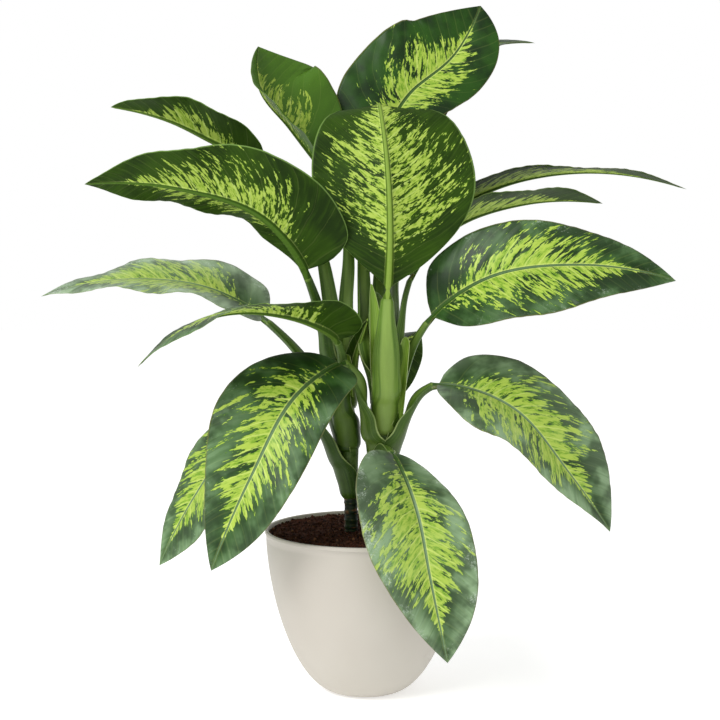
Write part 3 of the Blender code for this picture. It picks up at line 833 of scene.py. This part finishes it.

# %% [markdown]
# ## Petioles and sheaths
#
# A petiole is a fleshy olive-green stalk, streaked along its length, with a painted highlight down its
# middle. Its sheath has a thin pale edge on each side, where it wraps the cane.

# %% Petiole finish
stalk_ink, shader = new_finish("petiole", Specular_IOR_Level=0.3)
where = numbers_of("leaf")
share = numbers_of("share")
habit = numbers_of("habit")
place = object_place()
lines = cloud(place_of(times(where[0], 14), times(share[1], 7), where[2]), 1.0, 4.0, 0.65)
specks = cloud(place, 600.0, 2.0)
dark = blend_of(fade(lines, 0.35, 0.7), (34, 60, 10), (54, 86, 20))
light = blend_of(fade(lines, 0.35, 0.7), (72, 104, 26), (108, 138, 50))
tint = blend_of(habit[0], dark, light)
# Painted highlight: a lighter stripe down the petiole's middle, stronger on lighter petioles.
middle = math_of("SUBTRACT", 1.0, fade(absolute(share[1]), 0.02, 0.3))
tint = blend_of(times(middle, times(habit[0], 0.6)), tint, (138, 164, 78))
tint = blend_of(fade(specks, 0.62, 0.76, 0.0, 0.12), tint, (160, 180, 112))
edge = fade(absolute(share[1]), 0.93, 0.985)
tint = blend_of(times(edge, scaled(habit[1], 0.75, 0.05)), tint, (170, 188, 118))
roughness = scaled(lines, 0.25, 0.3)
finish_with(shader, tint, roughness, lines, 0.4, 0.5 * MM)

# %% [markdown]
# Each leaf has its own habit: how far its pale tissue reaches across, how much of it there is, how much
# painted sheen and chalk it wears, and how light its petiole is.

# %% Habits
USUAL = (0.7, 0.7, 0.4, 0.3, 0.15, 0.3)
HABITS = {  # reach on the left and right, amount of pale tissue, painted sheen, chalk, lightness of the petiole
    "leaf_front": (0.68, 0.84, 0.46, 1.4, 0.9, 0.4),
    "leaf_low_left": (0.66, 0.74, 0.36, 0.75, 0.45, 0.5),
    "leaf_low_left_rear": (0.8, 0.84, 0.46, 1.1, 0.7, 0.15),
    "leaf_low_right": (0.7, 0.84, 0.48, 1.4, 0.45, 0.25),
    "leaf_mid_right": (0.7, 0.78, 0.36, 0.5, 0.6, 0.45),
    "leaf_centre": (0.82, 0.76, 0.2, 0.0, 0.0, 1.0),
    "leaf_mid_left": (0.85, 0.85, 0.42, 1.8, 1.2, 0.2),
    "leaf_top_left": (0.66, 0.66, 0.34, 0.1, 0.0, 0.3),
    "leaf_top": (0.6, 0.62, 0.3, 0.0, 0.0, 0.5),
    "leaf_upper_left": (0.6, 0.5, 0.16, -0.75, 0.0, 0.5),
    "leaf_left": (0.85, 0.75, 0.18, 0.0, 0.0, 0.1),
    "leaf_twisted": (0.75, 0.7, 0.3, 0.8, 0.6, 0.3),
    "leaf_rear_small": (0.7, 0.7, 0.2, 0.1, 0.0, 0.3),
    "leaf_rolled": (0.1, 0.1, -0.9, 0.0, 0.0, 0.9),
}


def mark_points(skin, name, kind, field, values):
    """A value for each point of a laid skin, as an attribute."""
    layer = skin.data.attributes.new(name, kind, "POINT")
    layer.data.foreach_set(field, np.asarray(values, np.float32).reshape(-1))


for name, skin in skins.items():
    left, right, amount, painted_sheen, chalky, light = HABITS.get(name, USUAL)
    across = np.empty(len(skin.data.vertices) * 3, np.float32)
    skin.data.attributes["share"].data.foreach_get("vector", across)
    rows = len(sheath_share[name])
    reach = np.where(across.reshape(-1, 3)[:, 1] < 0, left, right).reshape(rows, -1)
    stalk = np.arange(rows)[:, None] <= STALK_ROWS
    first = np.where(stalk, light, reach)
    second = np.where(stalk, sheath_share[name][:, None], amount)
    habit = np.stack(np.broadcast_arrays(first, second, painted_sheen), axis=2)
    mark_points(skin, "habit", "FLOAT_VECTOR", "vector", habit)
    mark_points(skin, "chalk", "FLOAT", "value", np.full(first.shape, chalky))
    mark_points(skin, "light", "FLOAT", "value", np.full(first.shape, light))
    close_up(skin)
    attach(skin, "root")
    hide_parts(name)
    for ink in (upper_ink, under_ink, stalk_ink):
        skin.data.materials.append(ink)
print(len(skins), "leaves coloured")

# %% [markdown]
# ## Canes
#
# Below the leaves a cane is woody: dark green, with a ring at each scar where a leaf came off, and
# shreds of dry brown sheath. Higher up it is the rolled sheaths of the younger leaves, so it is shaped
# as a sheet rolled up on itself, with the roll's edge winding slowly round it.

# %% Canes
CANE_SIDES = 72
CANE_ROWS = 240
SCARS = {"cane_left": (0.163, 0.168, 0.1745, 0.183, 0.192), "cane_right": (0.166, 0.176, 0.187, 0.198)}
ROLL_EDGE = 0.9 * MM
TOP_TAPER = 40 * MM


def cane_rows(name):
    """Rings up a cane: round and scarred below, rolled above, and drawn in to a point at the top."""
    cane = canes[name]
    low, high = cane[0][0, 2], cane[0][-1, 2]
    heights = np.linspace(low, high, CANE_ROWS)
    places = np.array([cane_at(cane, height)[0] for height in heights])
    smooth = np.array([cane_at((cane[0][::3], cane[1][::3]), height)[1] for height in heights])
    drawn_in = np.clip((heights - high + TOP_TAPER) / TOP_TAPER, 0, 1)
    smooth = smooth * np.sqrt(np.clip(1 - drawn_in**2, 0.001, 1))
    turns = np.linspace(0, 2 * np.pi, CANE_SIDES, endpoint=False)
    scar = sum(np.exp(-(((heights - h) / (0.9 * MM)) ** 2)) for h in SCARS[name])
    radii = smooth + 0.7 * MM * scar
    rolled = np.clip((heights - 0.2) / 0.03, 0, 1)[:, None]
    seam = 4.0 + heights[:, None] * 9
    wind = ((turns[None, :] - seam) / (2 * np.pi)) % 1
    step = np.minimum(wind / 0.96, (1 - wind) / 0.04)
    reach = radii[:, None] + ROLL_EDGE * rolled * (step - 0.5)
    ring = np.stack([np.cos(turns), np.sin(turns), np.zeros(CANE_SIDES)], axis=1)
    rows = places[:, None] + reach[:, :, None] * ring[None]
    caps = [np.broadcast_to(places[end], (1, CANE_SIDES, 3)) for end in (0, -1)]
    return np.concatenate([caps[0], rows, caps[1]]), np.concatenate([wind[:1], wind, wind[-1:]])


for name in canes:
    rows, wind = cane_rows(name)
    skin = lay_grid(name + "_skin", rows)
    mark(skin, "roll", np.stack([rows[:, :, 2], wind, np.zeros_like(wind)], axis=2))
    close_up(skin)
    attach(skin, "root")
    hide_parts(name)
    skins[name] = skin
print(len(skins), "skins")

# %% [markdown]
# Three sheath ends show between the petioles: the furled tip beside the middle leaf's petiole, a round
# ended one on the right and a short one on the left. Each is a trough of thin sheet, pale along its
# edges, open towards the plant's front.

# %% Open sheaths
TROUGH_SIDES = 24
TROUGH_ROWS = 48
TROUGH_TURN = 1.35  # half the angle that a trough takes in
TROUGH_DEPTH = 0.3  # by its width
TROUGH_ROUND = 0.14  # share of its length over which its end rounds off


def trough(name, line, widths, facing):
    """A thin trough along a line in millimetres. The facing is the way that it opens."""
    line = np.array(line) * MM
    shares = np.linspace(0, 1, len(line))
    at = np.linspace(0, 1, TROUGH_ROWS)
    middle = spline(shares, line, at)
    width = spline(shares, np.array(widths, float) * MM, at)
    ending = np.clip((at - 1 + TROUGH_ROUND) / TROUGH_ROUND, 0, 1)
    width = width * np.sqrt(np.clip(1 - ending**2, 0.002, 1))
    way = np.gradient(middle, axis=0)
    way /= np.linalg.norm(way, axis=1, keepdims=True)
    front = np.array(facing, float)
    front = front - (way @ front)[:, None] * way
    front /= np.linalg.norm(front, axis=1, keepdims=True)
    side = np.cross(way, front)
    turn = np.linspace(-1, 1, TROUGH_SIDES)
    inner = (
        middle[:, None]
        + side[:, None] * (width[:, None] / 2 * np.sin(turn * TROUGH_TURN))[:, :, None]
        - front[:, None] * (width[:, None] * TROUGH_DEPTH * np.cos(turn * TROUGH_TURN))[:, :, None]
    )
    thick = (0.35 + 0.75 * (1 - turn**2))[None, :, None] * MM
    angle = (turn * TROUGH_TURN)[None, :, None]
    lean = side[:, None] * np.sin(angle) - front[:, None] * np.cos(angle)
    rows = np.concatenate([inner, (inner + lean * thick)[:, ::-1]], axis=1)
    ends = [np.broadcast_to(rows[end].mean(axis=0), (1, *rows.shape[1:])) for end in (0, -1)]
    rows = np.concatenate([ends[0], rows, ends[1]])
    skin = lay_grid(name, rows)
    place = np.linspace(0, 1, len(rows))[:, None]
    across = np.concatenate([turn, turn[::-1]])[None, :]
    inside = (np.arange(2 * TROUGH_SIDES) < TROUGH_SIDES)[None, :] * 1.0
    mark(skin, "trough", np.stack(np.broadcast_arrays(place, across, inside), axis=2))
    close_up(skin)
    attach(skin, "root")
    return skin


OPEN_SHEATHS = {  # line, widths, facing
    "sheath_furled": (
        [(13, -26, 286), (12, -30, 332), (10, -28, 376), (6, -26, 412)], (9, 14, 11, 3), (-0.2, -1, 0.2),
    ),
    "sheath_right": (
        [(31, -23, 262), (34, -25, 300), (37, -26, 335), (40, -27, 360)], (8, 11, 11, 9), (-0.5, -1, 0.2),
    ),
    "sheath_left": (
        [(-19, -22, 300), (-19, -22, 318), (-20, -22, 334), (-20, -22, 343)],
        (14, 14, 13, 9), (0, -1, 0.1),
    ),
}
troughs = [trough(name, *shape) for name, shape in OPEN_SHEATHS.items()]
print(len(troughs), "open sheaths")

# %% [markdown]
# A cane is painted as two tissues, brown-flecked wood below and green rolled sheath above, which change
# over at a ragged height. The open sheaths are a fresher green, pale at their edges, with painted shade
# on their outer face.

# %% Finishes of canes and open sheaths
cane_ink, shader = new_finish("cane", Specular_IOR_Level=0.3)
roll = numbers_of("roll")
place = object_place()
stretched = put("Mapping", {0: place, 3: (1, 1, 0.12)}).outputs[0]
lines = cloud(stretched, 260.0, 4.0, 0.65)
blots = cloud(place, 120.0, 4.0, 0.65)
rings = cloud(put("Mapping", {0: place, 3: (0.15, 0.15, 1)}).outputs[0], 420.0, 3.0)
wood = blend_of(fade(rings, 0.4, 0.65), (14, 32, 14), (40, 62, 28))
wood = blend_of(fade(times(blots, rings), 0.27, 0.36), wood, (104, 74, 46))
green = blend_of(fade(lines, 0.3, 0.7), (42, 72, 16), (82, 112, 38))
green = blend_of(fade(blots, 0.4, 0.75, 0.0, 0.6), green, (128, 152, 84))
brim = fade(roll[1], 0.965, 0.985)
green = blend_of(times(brim, 0.7), green, (166, 184, 112))
tint = blend_of(fade(scaled(blots, 0.02, roll[0]), 0.208, 0.218), wood, green)
roughness = scaled(lines, 0.25, 0.35)
height = math_of("ADD", lines, times(rings, 0.6))
finish_with(shader, tint, roughness, height, 0.5, 0.6 * MM)
for name in canes:
    skins[name].data.materials.append(cane_ink)

trough_ink, shader = new_finish("open_sheath", Specular_IOR_Level=0.35)
spot = numbers_of("trough")
lines = cloud(place_of(times(spot[0], 3), times(spot[1], 8), spot[2]), 1.0, 4.0)
tint = blend_of(fade(lines, 0.3, 0.7), (90, 126, 28), (132, 162, 60))
# Painted shade: the outer face of each open sheath is darkened.
tint = blend_of(times(math_of("SUBTRACT", 1.0, spot[2]), 0.5), tint, (60, 92, 26))
edge = fade(absolute(spot[1]), 0.86, 0.95)
tint = blend_of(times(edge, 0.8), tint, (178, 196, 126))
roughness = scaled(lines, 0.2, 0.4)
finish_with(shader, tint, roughness, lines, 0.4, 0.4 * MM)
for piece in troughs:
    piece.data.materials.append(trough_ink)

# %% [markdown]
# ## Pot
#
# The pot is a moulded shell of matte plastic. It is turned here: a filled circle is extruded and
# scaled ring by ring up the outside, over the rim, and down the inside to the soil. A lathe's spin of a
# profile gives the same shape, and rings are easier to read.

# %% Turn the pot
POT_SIDES = 144
RIM_RADIUS = 101.0 * MM
RIM_HEIGHT = 164.5 * MM
LIP_HEIGHT = 4.0 * MM
BASE_RADIUS = 32.0 * MM


def pot_radius(height):
    """The pot's outer radius at a height, the same as its solid's."""
    share = min(height / (RIM_HEIGHT - LIP_HEIGHT), 1.0)
    return BASE_RADIUS + (RIM_RADIUS - MM - BASE_RADIUS) * (1 - (1 - share) ** 1.7) ** 0.55


def turned(name, outline):
    """A body of revolution: a disc, extruded ring by ring through radii and heights, and filled."""
    deselect()
    radius, height = outline[0]
    bpy.ops.mesh.primitive_circle_add(
        vertices=POT_SIDES, radius=radius, fill_type="NGON", location=(0, 0, height)
    )
    bpy.ops.object.transform_apply()
    piece = bpy.context.object
    piece.name = name
    bpy.ops.object.mode_set(mode="EDIT")
    bpy.ops.mesh.select_all(action="SELECT")
    for next_radius, next_height in outline[1:]:
        bpy.ops.mesh.extrude_region_move(TRANSFORM_OT_translate={"value": (0, 0, next_height - height)})
        factor = next_radius / radius
        bpy.ops.transform.resize(value=(factor, factor, 1), center_override=(0, 0, next_height))
        radius, height = next_radius, next_height
    face_out(piece)
    return piece


outside = [(pot_radius(h), h) for h in (RIM_HEIGHT - LIP_HEIGHT) * (np.linspace(0.04, 1, 40) ** 1.8)]
LIP = (  # inward from the rim's radius and down from its height, in millimetres
    (0.5, 3.9), (0.1, 3.5), (0.0, 3.0), (0.0, 1.0), (0.15, 0.5), (0.5, 0.15), (1.0, 0.0), (2.2, 0.0),
    (2.7, 0.15), (3.0, 0.5), (3.2, 1.2), (3.4, 4.0), (5.0, 12.0),
)
FOOT = ((4.0, 1.2), (3.0, 0.2), (2.4, 0.0), (0.6, 0.0))  # inward from the base's radius, and height
lip = [(RIM_RADIUS - inward * MM, RIM_HEIGHT - down * MM) for inward, down in LIP]
foot_ring = [(BASE_RADIUS - inward * MM, height * MM) for inward, height in FOOT]
pot = turned("pot_shell", [*foot_ring, *outside, *lip])
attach(pot, "root")
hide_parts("pot")
pot_ink, shader = new_finish("matte_plastic", Specular_IOR_Level=0.3)
place = object_place()
soft = cloud(place, 9.0, 3.0)
grain = cloud(place, 900.0, 2.0)
tint = blend_of(fade(soft, 0.3, 0.7), (184, 178, 168), (189, 184, 174))
marks = fade(cloud(place, 60.0, 4.0, 0.7), 0.64, 0.74, 0.0, 0.12)
tint = blend_of(marks, tint, (165, 158, 146))
roughness = scaled(grain, 0.12, 0.5)
finish_with(shader, tint, roughness, grain, 0.15, 0.2 * MM)
pot.data.materials.append(pot_ink)
print(len(pot.data.polygons), "faces on the pot")

# %% [markdown]
# ## Soil
#
# Potting soil is crumbs of peat and bark. A disc of soil carries a fine uneven relief, and loose
# crumbs lie all over it: each is a small faceted ball, squashed its own way, all joined to one piece.

# %% Lay the soil
SOIL_HEIGHT = 163 * MM
SOIL_RADIUS = 96.8 * MM
SOIL_STEPS = 220
SOIL_DEPTH = 14 * MM
CRUMBS = 2600
chance = np.random.default_rng(7)


def soil_height(x, y):
    """The solid's gentle relief, a little lower at the wall."""
    share = np.hypot(x, y) / (97 * MM)
    waves = [(0.23, 0.11, 0.0), (-0.17, 0.31, 2.0), (0.5, 0.0, 1.0)]
    bumps = sum(np.sin((a * x + b * y) / MM + start) for a, b, start in waves) / 3
    return SOIL_HEIGHT - 2.0 * MM * share**2 + 0.9 * MM * bumps * (share < 0.99)


deselect()
bpy.ops.mesh.primitive_grid_add(
    x_subdivisions=SOIL_STEPS, y_subdivisions=SOIL_STEPS, size=2 * SOIL_RADIUS
)
soil = bpy.context.object
soil.name = "soil_bed"
points = np.array([v.co for v in soil.data.vertices])
far = np.abs(points[:, :2]).max(axis=1)
spread = far / np.maximum(np.hypot(points[:, 0], points[:, 1]), 1e-9)
points[:, :2] *= spread[:, None]
crumble = chance.normal(0, 0.35 * MM, len(points))
points[:, 2] = soil_height(points[:, 0], points[:, 1]) + crumble - 0.3 * MM
soil.data.vertices.foreach_set("co", points.astype(np.float32).reshape(-1))
bpy.ops.object.mode_set(mode="EDIT")
bpy.ops.mesh.select_all(action="SELECT")
bpy.ops.mesh.extrude_region_move(TRANSFORM_OT_translate={"value": (0, 0, -SOIL_DEPTH)})
face_out(soil)

deselect()
bpy.ops.mesh.primitive_ico_sphere_add(subdivisions=1, radius=1)
seed_crumb = bpy.context.object
ball = np.array([v.co for v in seed_crumb.data.vertices])
sides = np.array([list(p.vertices) for p in seed_crumb.data.polygons])
bpy.data.objects.remove(seed_crumb, do_unlink=True)
radius = 95.5 * MM * np.sqrt(chance.random(CRUMBS))
turn = chance.random(CRUMBS) * 2 * np.pi
x, y = radius * np.cos(turn), radius * np.sin(turn)
size = MM * (0.45 + 1.3 * chance.random(CRUMBS) ** 2.5)
stretch = 1 + chance.normal(0, 0.25, (CRUMBS, 3))
dents = 1 + chance.normal(0, 0.12, (CRUMBS, len(ball), 1))
crumbs = ball[None] * dents * stretch[:, None] * size[:, None, None]
crumbs += np.stack([x, y, soil_height(x, y) + size * 0.35], axis=1)[:, None]
mesh = bpy.data.meshes.new("soil_crumbs")
corners = sides[None] + np.arange(CRUMBS)[:, None, None] * len(ball)
mesh.from_pydata(crumbs.reshape(-1, 3).tolist(), [], corners.reshape(-1, 3).tolist())
crumb_piece = bpy.data.objects.new("soil_crumbs", mesh)
bpy.context.scene.collection.objects.link(crumb_piece)
mark_points(crumb_piece, "tone", "FLOAT", "value", np.repeat(chance.random(CRUMBS), len(ball)))
mark_points(soil, "tone", "FLOAT", "value", chance.random(len(soil.data.vertices)))
soil_ink, shader = new_finish("potting_soil", Specular_IOR_Level=0.15)
place = object_place()
tone = number_of("tone")
grain = cloud(place, 700.0, 3.0, 0.7)
tint = blend_of(times(tone, grain), (32, 15, 10), (118, 68, 46))
tint = blend_of(fade(tone, 0.93, 0.97), tint, (122, 84, 60))
roughness = scaled(grain, 0.15, 0.8)
finish_with(shader, tint, roughness, grain, 0.7, 0.8 * MM)
for piece in (soil, crumb_piece):
    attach(piece, "root")
    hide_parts("soil")
    piece.data.materials.append(soil_ink)
print(len(soil.data.polygons), "faces on the soil,", CRUMBS, "crumbs")

# %% [markdown]
# ## Floor
#
# The floor is a sheet of white paper. It glows a little, so that only the plant's own shadow marks it;
# more lamps would whiten it too, but would flatten the leaves.

# %% Floor finish
PAPER_GLOW = 0.42
floor_ink, shader = new_finish(
    "floor", Roughness=0.9, Emission_Color=(1, 1, 1, 1), Emission_Strength=PAPER_GLOW
)
place = object_place()
paper = cloud(place, 40.0, 2.0)
join(blend_of(paper, (240, 240, 240), (244, 244, 244)), shader["Base Color"])
floor.data.materials.append(floor_ink)
